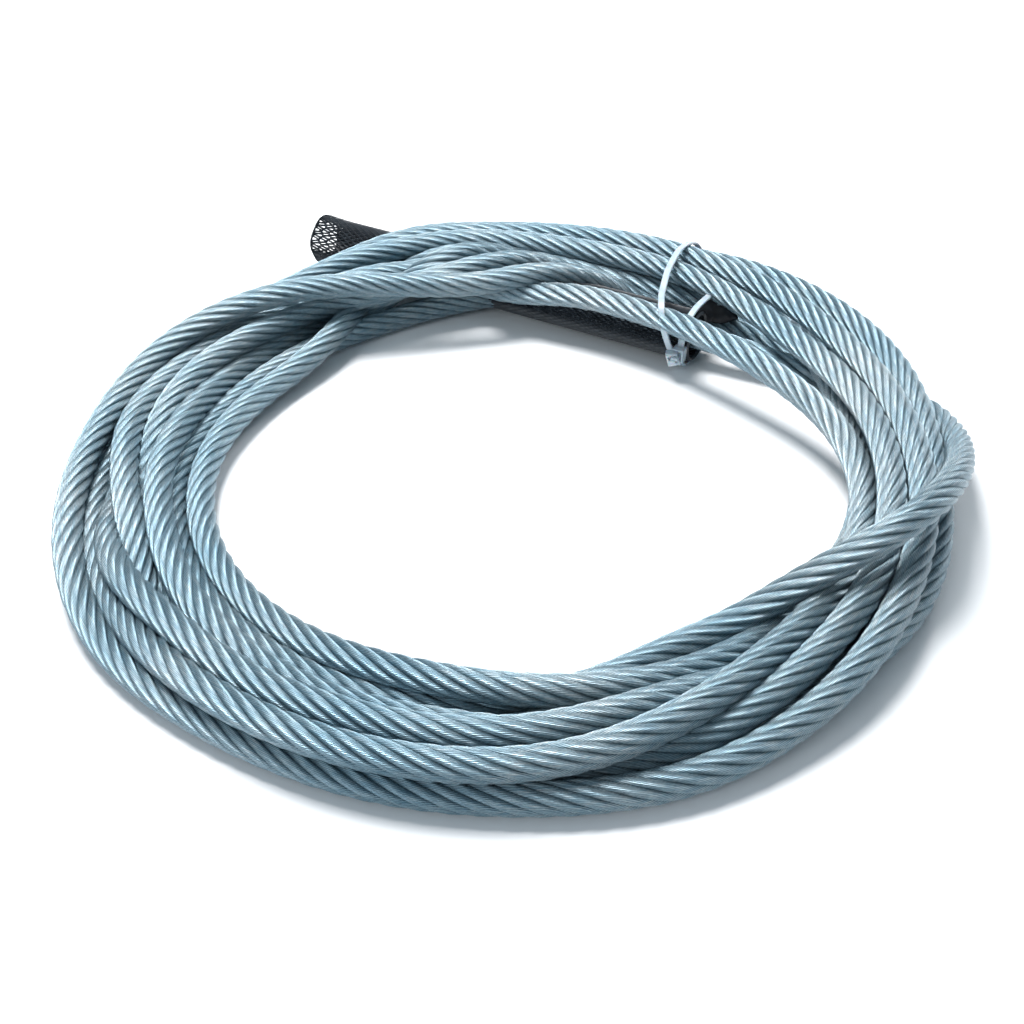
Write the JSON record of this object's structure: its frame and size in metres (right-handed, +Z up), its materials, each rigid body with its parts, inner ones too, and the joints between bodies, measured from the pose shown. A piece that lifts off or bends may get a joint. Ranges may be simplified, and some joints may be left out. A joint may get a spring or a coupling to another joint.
{
  "type": "wire rope hank",
  "caption": "Hank of galvanised steel wire rope with a swaged stud in a black net sleeve on one end and tape on the other, held by nylon cable ties.",
  "frame": {"origin": "centre of the underside of the whole hank's box, on the surface that it lies on", "axes": "+Z up, normal to the plane of the ring; +Y towards the net sleeve; +X towards the side where the last turn bulges out"},
  "size_m": [0.3275, 0.3371, 0.04],
  "materials": {
    "wire_rope": "bright galvanised stranded wire with a bluish cast",
    "stud_steel": "zinc plated, machined",
    "black_net": "extruded polyethylene netting, slight sheen",
    "black_tape": "vinyl tape, satin",
    "nylon": "natural translucent nylon"
  },
  "bodies": {
    "root": {"rope_coil": "wire_rope", "rope_last_turn": "wire_rope", "swaged_stud": "stud_steel", "net_sleeve": "black_net", "end_tape": "black_tape", "bundle_tie": "nylon", "mouth_tie": "nylon"}
  },
  "joints": []
}
